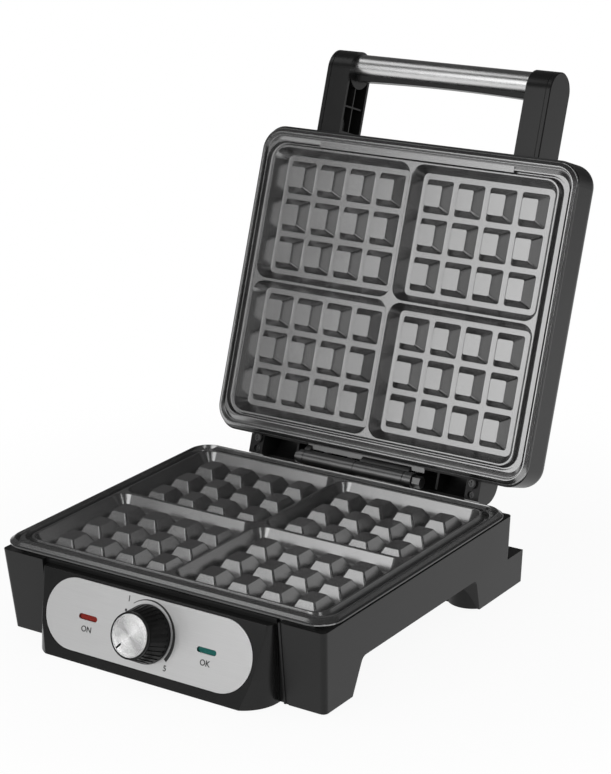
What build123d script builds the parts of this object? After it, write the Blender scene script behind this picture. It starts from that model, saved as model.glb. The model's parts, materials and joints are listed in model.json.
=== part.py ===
from build123d import *
from math import atan2, cos, degrees, radians, sin, sqrt, tan
import os

# Belgian waffle maker, standing open on the table.
# While modelling, X runs to the right, Y to the back and Z up from the table, and the middle of
# the lower plate is over X = Y = 0. Each plate and the lid are drawn in their own frame:
# x across, v away from the hinge and w out of the baking face, with w = 0 on the knob tops.

# Baking plates
KNOB_COLUMNS = 4
KNOB_ROWS = 3
KNOB_PITCH = (25.0, 27.26)
FIRST_KNOB = (19.48, 20.78)
KNOB_TOP = (12.0, 14.6, 1.2)
KNOB_FOOT = (21.0, 23.4, 2.0)
CELL_FLOOR_W = -7.5
CREST_W = 1.6
CREST_BREAK = (0.4, 0.45)
CELL_CREST_X = (1.1, 114.2)
CELL_CREST_V = (1.2, 95.6)
CELL_CREST_R = 9.0
CELL_FLOOR_X = (5.4, 108.6)
CELL_FLOOR_V = (5.4, 90.9)
CELL_FLOOR_R = 4.0
RIDGE_TOP = (115.8, 97.2, 10.0)
RIDGE_FOOT = (117.6, 98.4, 11.0)
LAND_INNER_FOOT = (120.6, 98.9, 13.0)
LAND_INNER_TOP = (121.8, 99.7, 14.0)
LAND_OUTER_TOP = (122.5, 100.5, 10.0)
LAND_OUTER_FOOT = (123.0, 104.1, 11.4)
LAND_W = 0.8
LAND_FOOT_W = -0.6
RIM_INNER_FOOT = (123.3, 104.4, 11.5)
RIM_INNER_TOP = (124.2, 105.5, 12.3)
RIM_TOP = (125.0, 106.3, 13.5)
RIM_FOOT = (127.4, 108.7, 15.9)
RIM_W = 1.8
RIM_FOOT_W = -0.2
LIP = (128.0, 109.3, 16.5)
LIP_W = (-1.6, -0.2)
LIP_ROUND = 0.45
CREST_ROUND = 0.5
GUTTER_W = -2.2
BODY = (122.0, 103.0, 11.0)
SKIRT_W = -6.0
PAN = (112.0, 93.8, 9.0)
PAN_W = -11.5
FAR_BAR = (78.7, 98.2, 102.4, 1.0)
HINGE_BAND = (112.0, -105.9, -99.2, 1.2)
SCREW_TOP_W = -0.8
PLATE_SCREW = (116.9, 97.9)
PLATE_BOSS_R = 3.0
PLATE_TOP_Z = 60.5

# Deck that carries a plate, in the housing and in the lid
DECK_W = -7.3
DECK_THICK = 2.5
DECK_OPENING = (113.5, 95.5, 9.5)

# Heating element and reflector
ELEMENT_R = 3.25
ELEMENT_W = -14.9
ELEMENT_HALF = (78.0, 62.0)
ELEMENT_END = (20.0, 84.0)
ELEMENT_BEND_R = 15.0
TRAY_OUTER = (113.3, 95.3, 9.3)
TRAY_FLANGE = (121.4, 102.4, 9.0)
TRAY_THICK = 0.8
TRAY_FLOOR_W = -22.5
DIMPLE_R = 3.5
DIMPLE_POINTS = [(78.0, 30.0), (78.0, -30.0), (40.0, 62.0)]
FUSE_R = 2.0
FUSE_LENGTH = 16.0
FUSE_PLACE = (-40.0, 20.0)
FUSE_CLIP = (3.0, 5.0, 0.8)
DIMPLE_GAP = 0.1

# Base housing
WALL = 2.5
HOUSING_LOW_Z = 1.0
DECK_Z = PLATE_TOP_Z + DECK_W
HOUSING_TOP_Z = PLATE_TOP_Z - 4.4
HOUSING_HALF_TOP = 126.0
HOUSING_HALF_LOW = 122.5
WELL = (123.0, 104.0, 12.0)
FRONT_WALL_Y = -105.5
FRONT_WALL_LEAN = 4.0
REAR_WALL_Y = 113.0
HOUSING_CORNER_R = 3.5
ARCH_TOP_Z = 24.5
ARCH_FRONT_Y = (-75.9, -65.7)
ARCH_REAR_Y = (76.4, 69.5)
ARCH_CORNER_R = 5.0
COVER_SEAT_Z = 27.0
COVER_HALF_X = 119.5
COVER_Y = (-62.0, 64.0)
COVER_THICK = 2.0
COVER_GAP = 0.4
COVER_OPENING = (108.0, -52.0, 54.0)
COVER_SCREWS = (113.8, -57.0, 59.0)
COVER_SCREW_HEAD = 0.4
VENT_COUNT = 9
VENT_PITCH = 11.0
VENT_SIZE = (5.0, 44.0)
HEEL_INNER_X = 83.0
HEEL_FRONT_Y = 60.0
HEEL_BACK_Y = 131.0
NOSE_R = 17.0
NOSE_PLACE = (109.5, 89.0)
FOOT_R = 7.0
FOOT_HEIGHT = 2.5
FRONT_FEET = (101.0, -90.0)
REAR_FEET = (103.0, 104.0)
WINDOW_HALF_X = 73.0
WINDOW_Z = (8.0, 48.0)
FASCIA_SEAT_X = (-91.7, 92.4)
SEAT_GROOVE_X = (88.8, 92.4)
SEAT_GROOVE_DEPTH = 1.5
SIDE_GROOVE_X = (93.8, 96.0)
SIDE_GROOVE_DEPTH = 0.6

# Control fascia, with its sloped front face
FASCIA_TILT = radians(18.0)
FASCIA_TOP_Z = 54.0
FASCIA_TOP_Y = -110.5
FASCIA_CROWN_Z = 53.0
FASCIA_MIDDLE_X = -1.5
FASCIA_LEVELS = [(1.0, 90.3, 76.0), (20.0, 90.2, 82.5), (FASCIA_CROWN_Z, 90.0, 87.0)]
FASCIA_EDGE_R = 0.7
FASCIA_WALL = 2.5
FASCIA_SCREW_X = 80.5
FASCIA_SCREW_Z = (13.0, 41.0)
FASCIA_SCREW_GRIP = 5.0
FASCIA_POST_R = 3.4
PANEL_HALF = (80.6, 23.0)
PANEL_DOWN = 26.0
PANEL_THICK = 1.0
PANEL_GAP = 0.5

# Lamps
LENS_X = 46.6
LENS_SIZE = (14.7, 3.5)
LENS_SUNK = 1.5
LENS_FLANGE = (18.0, 7.0, 1.4)
HOLDER_SIZE = (22.0, 11.0, 9.0)
HOLDER_FLOOR = 1.5
LAMP_R = 2.4
LAMP_GAP = 0.4

# Thermostat and knob
SHAFT_R = 3.0
RUNNING_GAP = 0.05
BUSH_R = 4.7
BUSH_FRONT = 3.9
BUSH_HOLE_R = 4.9
NUT_ACROSS_FLATS = 12.0
NUT_THICK = 2.4
THERMOSTAT_SIZE = (30.0, 24.0, 14.0)
SHAFT_SPAN = (-14.0, 12.5)
SHAFT_SHOULDER = 1.5
SHAFT_END_GAP = 0.2
KNOB_FOOT_R = 18.75
KNOB_NECK_R = 15.0
KNOB_RIM_R = 14.75
KNOB_LIFT = 0.6
KNOB_LENGTH = 17.0
KNOB_RIM_LENGTH = 1.8
KNOB_GROOVES = 32
KNOB_GROOVE = (1.5, 0.8)
KNOB_GROOVE_END = 1.7
KNOB_HOLLOW = (10.5, 4.6)
CAP_R = 13.5
CAP_THICK = 1.0
CAP_PROUD = 0.2
POINTER_ANGLE = 228.0
POINTER_SPAN = (8.2, 12.9)
POINTER_WIDTH = 1.3
POINTER_GAP = 0.03

# Hinge, shared by base and lid
HINGE_Y = 119.4
HINGE_Z = PLATE_TOP_Z + 1.25
HINGE_V = -HINGE_Y
HINGE_W = 2.75
LID_OPEN = 109.7
BARREL_R = 5.6
PIN_R = 3.0
KNUCKLE_BASE = [(-44.0, -2.4), (38.2, 45.0)]
KNUCKLE_LID = [(-48.6, -44.4), (-2.0, 37.8)]
KNUCKLE_GAP = 0.2
LEAF_THICK = 2.0
LEAF_WEB_HALF = 1.5
BASE_LEAF = (56.0, 34.0, 55.0)
LID_LEAF = (48.5, -21.0, -3.1)
LID_LEAF_APRON = (-113.0, -105.0)
LEAF_CLEAR_R = 6.2
PIN_HEAD = (45.3, 51.5, 4.4)
PIN_CLIP = (-51.5, -49.1, 4.2)
PIN_TAIL = 0.8
BASE_LEAF_SCREWS = [-46.0, -22.0, 22.0, 46.0]
BASE_LEAF_SCREW_Z = 42.5
LID_LEAF_SCREWS = [-38.0, -18.0, 18.0, 38.0]
LID_LEAF_SCREW_W = -14.5
LEAF_SCREW_LENGTH = 7.0

# Lid housing
LID_HALF = (127.3, 110.5)
LID_CORNER_R = 15.5
LID_EDGE_W = -2.1
LID_BACK_W = -31.0
LID_BACK_R = 9.0
LID_REBATE = (125.3, 108.3, 13.5)
HOOD_HALF_X = 95.0
HOOD_EAR = 11.0
HOOD_WALL = 2.2
HOOD_FRONT_V = (-109.5, -124.0)
HOOD_LOW = (-126.2, -9.0)
HOOD_BEND = (-122.4, -19.6)
HOOD_BACK = (-109.5, -24.2)
HOOD_LIP_W = -8.0
HOOD_RIB_X = (57.4, 59.0)
HOOD_RIB_V = (-122.5, -109.5)
HOOD_RIB_W = -6.0
HOOD_SCREW_X = 88.6
HOOD_SCREW_V = (-112.6, -120.4)
HOOD_BOSS_R = 3.7
HOOD_BOSS_W = (2.0, -1.5)
HOOD_SCREW_SINK = 1.5
HOOD_SCREW_HEAD = (2.5, 1.2)
HOOD_SCREW_GRIP = 6.5
HOOD_EAR_LOW_W = -9.0

# Handle
ARM_X = (71.2, 87.1)
ARM_COVER_X = 90.4
ARM_COVER_BREAK = 0.6
ARM_COVER_GAP = 0.3
ARM_POST = 9.0
HANDLE_SCREW_LENGTH = 14.0
ARM_EDGE_R = 0.6
ARM_W = (-37.3, -8.6)
ARM_END_V = 171.4
ARM_WALL = 2.4
RIB_THICK = 1.2
ARM_LONG_RIB_W = -22.0
ARM_CROSS_RIB_V = 131.0
ARM_SHORT_RIB = (-13.0, 121.0)
TUBE_V = 161.2
TUBE_W = -23.0
TUBE_R = 8.5
TUBE_WALL = 1.0
TUBE_END_X = 82.3
TUBE_SEAT_R = 13.0
TUBE_SEAT_V = 157.6
SADDLE_HALF_W = 5.2
SADDLE_MIDDLE_V = 151.5
SADDLE_END_V = 150.0
SADDLE_ROUND = 0.8
ARM_SCREW_X = 77.6
ARM_SCREW_W = (-13.4, -19.3)

# Fasteners and supply
SCREW_HEAD = (2.8, 1.9)
SCREW_SHANK_R = 1.5
HOLE_GAP = 0.05
GLAND_PLACE = (72.0, 40.0)
GLAND_BORE_R = 3.5
GLAND_NECK_R = 5.8
GLAND_FLANGE_R = 8.5
GLAND_SPAN = (106.0, 116.0)
GLAND_FLANGE_THICK = 1.6
TERMINAL_SIZE = (26.0, 14.0, 9.0)
TERMINAL_PLACE = (72.0, 40.0)
TERMINAL_WELL_R = 1.8
TERMINAL_WELL_PITCH = 8.0
TERMINAL_WELL_LOW = 4.0

# A length that is past every piece, for cutting right through
FAR = 200.0


# Frames
def frame_location(origin, z_dir):
    return Plane(origin=origin, x_dir=(1, 0, 0), z_dir=z_dir).location


lean = radians(LID_OPEN - 90)
lid_up = Vector(0, sin(lean), cos(lean))
lid_out = Vector(0, -cos(lean), sin(lean))
hinge_point = Vector(0, HINGE_Y, HINGE_Z)
lid_middle = hinge_point - lid_up * HINGE_V - lid_out * HINGE_W
LID = frame_location(lid_middle, lid_out)
LOWER = Location((0, 0, PLATE_TOP_Z), (0, 0, 180))
panel_out = Vector(0, -cos(FASCIA_TILT), sin(FASCIA_TILT))
panel_top = Vector(FASCIA_MIDDLE_X, FASCIA_TOP_Y, FASCIA_TOP_Z)
PANEL = frame_location(panel_top, panel_out) * Pos(0, -PANEL_DOWN, 0)


# Plain forms
def slab(size, low, high, middle_y=0.0):
    half_x, half_y, radius = size
    outline = RectangleRounded(2 * half_x, 2 * half_y, radius)
    return Pos(0, middle_y, low) * extrude(outline, amount=high - low)


def block(span_x, span_y, span_z):
    spans = (span_x, span_y, span_z)
    sizes = [high - low for low, high in spans]
    middle = [(low + high) / 2 for low, high in spans]
    return Pos(*middle) * Box(*sizes)


def rod_x(radius, span, y, z):
    low, high = span
    return Pos((low + high) / 2, y, z) * Rot(0, 90, 0) * Cylinder(radius, high - low)


def rod_y(radius, span, x, z):
    low, high = span
    return Pos(x, (low + high) / 2, z) * Rot(90, 0, 0) * Cylinder(radius, high - low)


def rod_z(radius, span, x, y):
    low, high = span
    return Pos(x, y, (low + high) / 2) * Cylinder(radius, high - low)


def across(face_yz, span):
    low, high = span
    return Pos(low, 0, 0) * extrude(Plane.YZ * face_yz, amount=high - low, dir=(1, 0, 0))


def both_sides(shape):
    return [shape, mirror(shape, about=Plane.YZ)]


def group(shapes):
    return Part() + shapes


def frustum(low_size, low, high_size, high):
    sections = []
    for (half_x, half_y, radius), z in ((low_size, low), (high_size, high)):
        sections.append(Pos(0, 0, z) * RectangleRounded(2 * half_x, 2 * half_y, radius))
    return loft(sections, ruled=True)


def top_rounded(shape, radius):
    return fillet(shape.edges().group_by(Axis.Z)[-1], radius)


def screw(length, head=SCREW_HEAD):
    head_r, head_height = head
    body = rod_z(head_r, (0, head_height), 0, 0) + rod_z(SCREW_SHANK_R, (-length, 0), 0, 0)
    slot_depth = 0.55 * head_height
    slot_length = 1.3 * head_r
    slot_width = 0.3 * head_r
    for turn in (0, 90):
        slot = Box(slot_length, slot_width, slot_depth)
        body -= Pos(0, 0, head_height - slot_depth / 2) * Rot(0, 0, turn) * slot
    return body


def screw_at(point, head_dir, length, head=SCREW_HEAD):
    return Plane(origin=point, z_dir=head_dir).location * screw(length, head)


HOLE_R = SCREW_SHANK_R + HOLE_GAP


# Baking plate and what is under it
def plate_cell():
    def section(span_x, span_v, radius, w):
        middle_x = sum(span_x) / 2
        middle_v = sum(span_v) / 2
        outline = RectangleRounded(span_x[1] - span_x[0], span_v[1] - span_v[0], radius)
        return Pos(middle_x, middle_v, w) * outline

    def grown(span, by):
        return span[0] - by, span[1] + by

    break_out, break_down = CREST_BREAK
    floor = section(CELL_FLOOR_X, CELL_FLOOR_V, CELL_FLOOR_R, CELL_FLOOR_W)
    neck = section(CELL_CREST_X, CELL_CREST_V, CELL_CREST_R, CREST_W - break_down)
    mouth = section(grown(CELL_CREST_X, break_out), grown(CELL_CREST_V, break_out),
                    CELL_CREST_R + break_out, CREST_W)
    return loft([floor, neck, mouth], ruled=True)


def plate_knob():
    foot_x, foot_v, foot_r = KNOB_FOOT
    top_x, top_v, top_r = KNOB_TOP
    foot = Pos(0, 0, CELL_FLOOR_W) * RectangleRounded(foot_x, foot_v, foot_r)
    top = RectangleRounded(top_x, top_v, top_r)
    return loft([foot, top], ruled=True)


def knob_places():
    first_x, first_v = FIRST_KNOB
    pitch_x, pitch_v = KNOB_PITCH
    for column in range(KNOB_COLUMNS):
        for row in range(KNOB_ROWS):
            yield first_x + column * pitch_x, first_v + row * pitch_v


def plate_corners():
    x, v = PLATE_SCREW
    return [(x, v), (-x, v), (-x, -v), (x, -v)]


def plate_edge():
    """The lip, the rim, the land and the gutters round the cells, worked from the outside in."""
    lip = slab(LIP, *LIP_W)
    lip = fillet(lip.edges().group_by(Axis.Z)[-1] + lip.edges().group_by(Axis.Z)[0], LIP_ROUND)
    edge = slab(BODY, SKIRT_W, LIP_W[0]) + lip
    edge += top_rounded(frustum(RIM_FOOT, RIM_FOOT_W, RIM_TOP, RIM_W), CREST_ROUND * 0.6)
    edge -= frustum(RIM_INNER_FOOT, LAND_FOOT_W, RIM_INNER_TOP, RIM_W)
    edge += frustum(LAND_OUTER_FOOT, LAND_FOOT_W, LAND_OUTER_TOP, LAND_W)
    edge -= frustum(LAND_INNER_FOOT, GUTTER_W, LAND_INNER_TOP, LAND_W)
    return edge + top_rounded(frustum(RIDGE_FOOT, GUTTER_W, RIDGE_TOP, CREST_W), CREST_ROUND)


def make_plate(band):
    plate = plate_edge() + slab(PAN, PAN_W, SKIRT_W)
    half, low, high, top = band
    plate += block((-half, half), (low, high), (GUTTER_W, top))
    cell = plate_cell()
    knob = plate_knob()
    for turn_x in (1, -1):
        for turn_v in (1, -1):
            quarter = cell
            if turn_x < 0:
                quarter = mirror(quarter, about=Plane.YZ)
            if turn_v < 0:
                quarter = mirror(quarter, about=Plane.XZ)
            plate -= quarter
            plate += [Pos(turn_x * x, turn_v * v, 0) * knob for x, v in knob_places()]
    plate += [rod_z(PLATE_BOSS_R, (DECK_W, SKIRT_W), x, v) for x, v in plate_corners()]
    plate -= [rod_z(HOLE_R, (DECK_W, SCREW_TOP_W + 0.2), x, v) for x, v in plate_corners()]
    return plate


def make_element():
    half_x, half_v = ELEMENT_HALF
    end_x, end_v = ELEMENT_END
    route = FilletPolyline(
        (-end_x, -end_v), (-end_x, -half_v), (-half_x, -half_v), (-half_x, half_v),
        (half_x, half_v), (half_x, -half_v), (end_x, -half_v), (end_x, -end_v),
        radius=[ELEMENT_BEND_R * 0.6] + [ELEMENT_BEND_R] * 4 + [ELEMENT_BEND_R * 0.6])
    section = Plane(origin=route @ 0, z_dir=route % 0) * Circle(ELEMENT_R)
    return Pos(0, 0, ELEMENT_W) * sweep(section, path=route)


def make_reflector():
    flange_w = DECK_W - DECK_THICK
    half_x, half_v, radius = TRAY_OUTER
    inner = (half_x - TRAY_THICK, half_v - TRAY_THICK, radius - TRAY_THICK)
    tray = slab(TRAY_OUTER, TRAY_FLOOR_W, flange_w)
    tray += slab(TRAY_FLANGE, flange_w - TRAY_THICK, flange_w)
    tray -= slab(inner, TRAY_FLOOR_W + TRAY_THICK, flange_w)
    dimple_top = ELEMENT_W - ELEMENT_R - DIMPLE_GAP
    for x, v in DIMPLE_POINTS:
        for side in (1, -1):
            tray += rod_z(DIMPLE_R, (TRAY_FLOOR_W, dimple_top), side * x, v)
    tray -= [rod_z(HOLE_R, (flange_w - TRAY_THICK, flange_w), x, v) for x, v in plate_corners()]
    return tray


def make_plate_screws():
    seat = DECK_W - DECK_THICK - TRAY_THICK
    length = SCREW_TOP_W - seat
    return group([screw_at((x, v, seat), (0, 0, -1), length) for x, v in plate_corners()])


# Base housing
def housing_half(z):
    share = (z - HOUSING_LOW_Z) / (HOUSING_TOP_Z - HOUSING_LOW_Z)
    return HOUSING_HALF_LOW + share * (HOUSING_HALF_TOP - HOUSING_HALF_LOW)


def housing_front(z):
    share = (z - HOUSING_LOW_Z) / (HOUSING_TOP_Z - HOUSING_LOW_Z)
    return FRONT_WALL_Y - share * FRONT_WALL_LEAN


def housing_form(inset, low, high):
    """The body, whose sides lean out and whose front leans forward towards the top."""
    radius = HOUSING_CORNER_R - inset
    sections = []
    for z in (low, high):
        width = 2 * (housing_half(z) - inset)
        front = housing_front(z) + inset
        back = REAR_WALL_Y - inset
        outline = RectangleRounded(width, back - front, radius)
        sections.append(Pos(0, (front + back) / 2, z) * outline)
    return loft(sections, ruled=True)


def arch_face():
    low_z = -2 * WALL
    front_low, front_high = ARCH_FRONT_Y
    rear_low, rear_high = ARCH_REAR_Y
    front_slope = (front_high - front_low) / ARCH_TOP_Z
    rear_slope = (rear_high - rear_low) / ARCH_TOP_Z
    outline = Polyline(
        (front_low + low_z * front_slope, low_z), (front_high, ARCH_TOP_Z),
        (rear_high, ARCH_TOP_Z), (rear_low + low_z * rear_slope, low_z), close=True)
    face = make_face(outline)
    return fillet(face.vertices().group_by(Axis.Y)[-1], radius=ARCH_CORNER_R)


def heel(inset):
    """The right heel, whose outer side carries on the housing's leaning side."""
    low_z = HOUSING_LOW_Z + inset
    high_z = ARCH_TOP_Z - inset
    inner_x = HEEL_INNER_X + inset
    outline = make_face(Polyline(
        (inner_x, low_z), (housing_half(low_z) - inset, low_z),
        (housing_half(high_z) - inset, high_z), (inner_x, high_z), close=True))
    depth = HEEL_BACK_Y - inset - HEEL_FRONT_Y
    return Pos(0, HEEL_FRONT_Y, 0) * extrude(Plane.XZ * outline, amount=depth, dir=(0, 1, 0))


def rear_nose():
    """The rounded front of the right rear foot."""
    x, y = NOSE_PLACE
    nose = rod_z(NOSE_R, (HOUSING_LOW_Z, ARCH_TOP_Z), x, y)
    nose &= housing_form(0, HOUSING_LOW_Z, HOUSING_TOP_Z)
    return nose - block((0, FAR), (ARCH_REAR_Y[0] + WALL, FAR), (-FAR, FAR))


def make_base_housing():
    arch = arch_face()
    envelope = housing_form(0, HOUSING_LOW_Z, HOUSING_TOP_Z)
    envelope += both_sides(heel(0))
    envelope -= across(arch, (-FAR, FAR))
    envelope -= block((-COVER_HALF_X, COVER_HALF_X), COVER_Y, (-FAR, COVER_SEAT_Z))
    envelope -= block((-HEEL_INNER_X, HEEL_INNER_X), (HEEL_FRONT_Y, FAR), (-FAR, ARCH_TOP_Z))
    deck_low = DECK_Z - DECK_THICK
    cavity = housing_form(WALL, HOUSING_LOW_Z + WALL, deck_low)
    cavity += both_sides(heel(WALL))
    cavity -= across(offset(arch, WALL, kind=Kind.INTERSECTION), (-FAR, FAR))
    seat_half = COVER_HALF_X + WALL
    seat_y = (COVER_Y[0] - WALL, COVER_Y[1] + WALL)
    cavity -= block((-seat_half, seat_half), seat_y, (-FAR, COVER_SEAT_Z + WALL))
    inner_x = HEEL_INNER_X + WALL
    cavity -= block((-inner_x, inner_x), (HEEL_FRONT_Y - WALL, FAR), (-FAR, ARCH_TOP_Z + WALL))
    seat_low_x, seat_high_x = FASCIA_SEAT_X
    cavity -= block((seat_low_x - WALL, seat_high_x + WALL), (-FAR, FRONT_WALL_Y + WALL), (-FAR, FAR))
    housing = envelope - cavity
    housing -= block(FASCIA_SEAT_X, (-FAR, FRONT_WALL_Y), (-FAR, FAR))
    housing += both_sides(rear_nose())
    housing -= slab(DECK_OPENING, deck_low - 1, HOUSING_TOP_Z + 1)
    housing -= slab(WELL, DECK_Z, HOUSING_TOP_Z + 1)
    half_x, low_y, high_y = COVER_OPENING
    housing -= block((-half_x, half_x), (low_y, high_y), (-FAR, COVER_SEAT_Z + 2 * WALL))
    housing -= block((-WINDOW_HALF_X, WINDOW_HALF_X), (-FAR, FRONT_WALL_Y + 2 * WALL), WINDOW_Z)
    housing -= block(SEAT_GROOVE_X, (-FAR, FRONT_WALL_Y + SEAT_GROOVE_DEPTH), (-FAR, FAR))
    groove = block(SIDE_GROOVE_X, (-FAR, 0), (-FAR, FAR))
    housing -= groove - housing_form(SIDE_GROOVE_DEPTH, HOUSING_LOW_Z, HOUSING_TOP_Z)
    for x, y in (FRONT_FEET, REAR_FEET):
        recess = rod_z(FOOT_R + HOLE_GAP, (0, FOOT_HEIGHT), x, y)
        housing -= both_sides(recess)
    for x, y in plate_corners():
        housing -= rod_z(HOLE_R, (deck_low, DECK_Z), x, y)
    for x in (-FASCIA_SCREW_X, FASCIA_SCREW_X):
        for z in FASCIA_SCREW_Z:
            housing -= rod_y(HOLE_R, (FRONT_WALL_Y, FRONT_WALL_Y + WALL), x, z)
    for x, y in cover_screw_places():
        housing -= rod_z(HOLE_R, (COVER_SEAT_Z, COVER_SEAT_Z + WALL), x, y)
    for x in BASE_LEAF_SCREWS:
        housing -= rod_y(HOLE_R, (REAR_WALL_Y - WALL, REAR_WALL_Y), x, BASE_LEAF_SCREW_Z)
    gland_x, gland_z = GLAND_PLACE
    housing -= rod_y(GLAND_NECK_R + HOLE_GAP, (REAR_WALL_Y - WALL, REAR_WALL_Y), gland_x, gland_z)
    return housing


def cover_screw_places():
    x, front_y, rear_y = COVER_SCREWS
    return [(side * x, y) for side in (1, -1) for y in (front_y, rear_y)]


def make_bottom_cover():
    half_x = COVER_HALF_X - COVER_GAP
    span_y = (COVER_Y[0] + COVER_GAP, COVER_Y[1] - COVER_GAP)
    cover = block((-half_x, half_x), span_y, (COVER_SEAT_Z - COVER_THICK, COVER_SEAT_Z))
    vent_x, vent_y = VENT_SIZE
    for index in range(VENT_COUNT):
        x = (index - (VENT_COUNT - 1) / 2) * VENT_PITCH
        cover -= Pos(x, 0, COVER_SEAT_Z - COVER_THICK / 2) * Box(vent_x, vent_y, 2 * COVER_THICK)
    span = (COVER_SEAT_Z - COVER_THICK, COVER_SEAT_Z)
    cover -= [rod_z(HOLE_R, span, x, y) for x, y in cover_screw_places()]
    return cover


def make_cover_screws():
    under = COVER_SEAT_Z - COVER_THICK
    head = (SCREW_HEAD[0], COVER_SCREW_HEAD)
    length = COVER_THICK + WALL + 1
    return group([screw_at((x, y, under), (0, 0, -1), length, head) for x, y in cover_screw_places()])


def make_rubber_feet():
    feet = []
    for x, y in (FRONT_FEET, REAR_FEET):
        feet += both_sides(rod_z(FOOT_R, (0, FOOT_HEIGHT), x, y))
    return group(feet)


# Control fascia
def fascia_front(z):
    return FASCIA_TOP_Y - (FASCIA_TOP_Z - z) * tan(FASCIA_TILT)


def fascia_section(z, half, crease, inset):
    front = fascia_front(z) + inset / cos(FASCIA_TILT)
    half -= inset
    crease -= inset
    depth = FRONT_WALL_Y - front
    radius = ((half - crease) ** 2 + depth ** 2) / (2 * (half - crease))
    sweep_angle = atan2(depth, crease - half + radius) / 2
    middle = (half - radius + radius * cos(sweep_angle), FRONT_WALL_Y - radius * sin(sweep_angle))
    right = ThreePointArc((half, FRONT_WALL_Y), middle, (crease, front))
    left = ThreePointArc((-crease, front), (-middle[0], middle[1]), (-half, FRONT_WALL_Y))
    face = make_face([right, Line((crease, front), (-crease, front)), left,
                      Line((-half, FRONT_WALL_Y), (half, FRONT_WALL_Y))])
    return Pos(FASCIA_MIDDLE_X, 0, z) * face


def fascia_form(inset):
    sections = []
    for index, (z, half, crease) in enumerate(FASCIA_LEVELS):
        if index == 0:
            z += inset
        if index == len(FASCIA_LEVELS) - 1:
            z -= inset
        sections.append(fascia_section(z, half, crease, inset))
    return loft(sections, ruled=True)


def stadium(half_x, half_y, low, high, x=0.0):
    outline = SlotOverall(2 * half_x, 2 * half_y)
    return Pos(x, 0, low) * extrude(outline, amount=high - low)


def make_control_fascia():
    outer = fascia_form(0)
    front_edge = outer.edges().group_by(Axis.Z)[-1].sort_by(Axis.Y)[0]
    outer = fillet(front_edge, FASCIA_EDGE_R)
    shell = outer - fascia_form(FASCIA_WALL)
    for x in (-FASCIA_SCREW_X, FASCIA_SCREW_X):
        for z in FASCIA_SCREW_Z:
            shell += outer & rod_y(FASCIA_POST_R, (-FAR, FRONT_WALL_Y), x, z)
            shell -= rod_y(HOLE_R, (FRONT_WALL_Y - FASCIA_SCREW_GRIP, FRONT_WALL_Y), x, z)
    half_x, half_y = PANEL_HALF
    recess = stadium(half_x + PANEL_GAP, half_y + PANEL_GAP, -PANEL_THICK, WALL)
    shell -= PANEL * recess
    shell -= PANEL * rod_z(BUSH_HOLE_R, (-2 * FASCIA_WALL, FASCIA_WALL), 0, 0)
    for side in (-1, 1):
        shell -= PANEL * lens_slot(side * LENS_X)
    return shell


def lens_slot(x):
    width, height = LENS_SIZE
    return stadium(width / 2 + HOLE_GAP, height / 2 + HOLE_GAP, -2 * FASCIA_WALL, FASCIA_WALL, x)


def make_panel_plate():
    half_x, half_y = PANEL_HALF
    plate = stadium(half_x, half_y, -PANEL_THICK, 0)
    plate -= rod_z(BUSH_HOLE_R, (-PANEL_THICK, 0), 0, 0)
    for side in (-1, 1):
        plate -= lens_slot(side * LENS_X)
    return PANEL * plate


def make_fascia_screws():
    seat = FRONT_WALL_Y + WALL
    places = [(side * FASCIA_SCREW_X, z) for side in (1, -1) for z in FASCIA_SCREW_Z]
    length = WALL + FASCIA_SCREW_GRIP - 0.5
    return group([screw_at((x, seat, z), (0, 1, 0), length) for x, z in places])


def make_lens(x):
    width, height = LENS_SIZE
    flange_x, flange_y, flange_thick = LENS_FLANGE
    body = stadium(width / 2, height / 2, -FASCIA_WALL, -LENS_SUNK, x)
    middle = -FASCIA_WALL - flange_thick / 2
    body += Pos(x, 0, middle) * Box(flange_x, flange_y, flange_thick)
    return PANEL * body


def make_lamps():
    low = -FASCIA_WALL - LENS_FLANGE[2] - HOLDER_SIZE[2] + HOLDER_FLOOR
    high = -FASCIA_WALL - LENS_FLANGE[2] - LAMP_GAP
    lamps = [rod_z(LAMP_R, (low, high), side * LENS_X, 0) for side in (-1, 1)]
    return group([PANEL * lamp for lamp in lamps])


def make_lamp_holders():
    size_x, size_y, length = HOLDER_SIZE
    high = -FASCIA_WALL - LENS_FLANGE[2]
    holders = []
    for side in (-1, 1):
        holder = Pos(side * LENS_X, 0, high - length / 2) * Box(size_x, size_y, length)
        holder -= rod_z(LAMP_R + LAMP_GAP / 2, (high - length + HOLDER_FLOOR, high), side * LENS_X, 0)
        holders.append(PANEL * holder)
    return group(holders)


# Thermostat and knob
def make_thermostat():
    size_x, size_y, length = THERMOSTAT_SIZE
    body = Pos(0, 0, -FASCIA_WALL - length / 2) * Box(size_x, size_y, length)
    body += rod_z(BUSH_R, (-FASCIA_WALL - 1, BUSH_FRONT), 0, 0)
    body -= rod_z(SHAFT_R + RUNNING_GAP, (SHAFT_SPAN[0] - SHAFT_END_GAP, BUSH_FRONT), 0, 0)
    return PANEL * body


def make_thermostat_nut():
    nut = extrude(RegularPolygon(NUT_ACROSS_FLATS / 2, 6, major_radius=False), amount=NUT_THICK)
    nut -= rod_z(BUSH_R + HOLE_GAP, (0, NUT_THICK), 0, 0)
    return PANEL * nut


def make_shaft():
    low, high = SHAFT_SPAN
    shaft = rod_z(SHAFT_R, (low, high), 0, 0)
    flat = block((-SHAFT_R, SHAFT_R), (SHAFT_R / 2, SHAFT_R), (BUSH_FRONT + SHAFT_SHOULDER, high))
    return PANEL * (shaft - flat)


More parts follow.
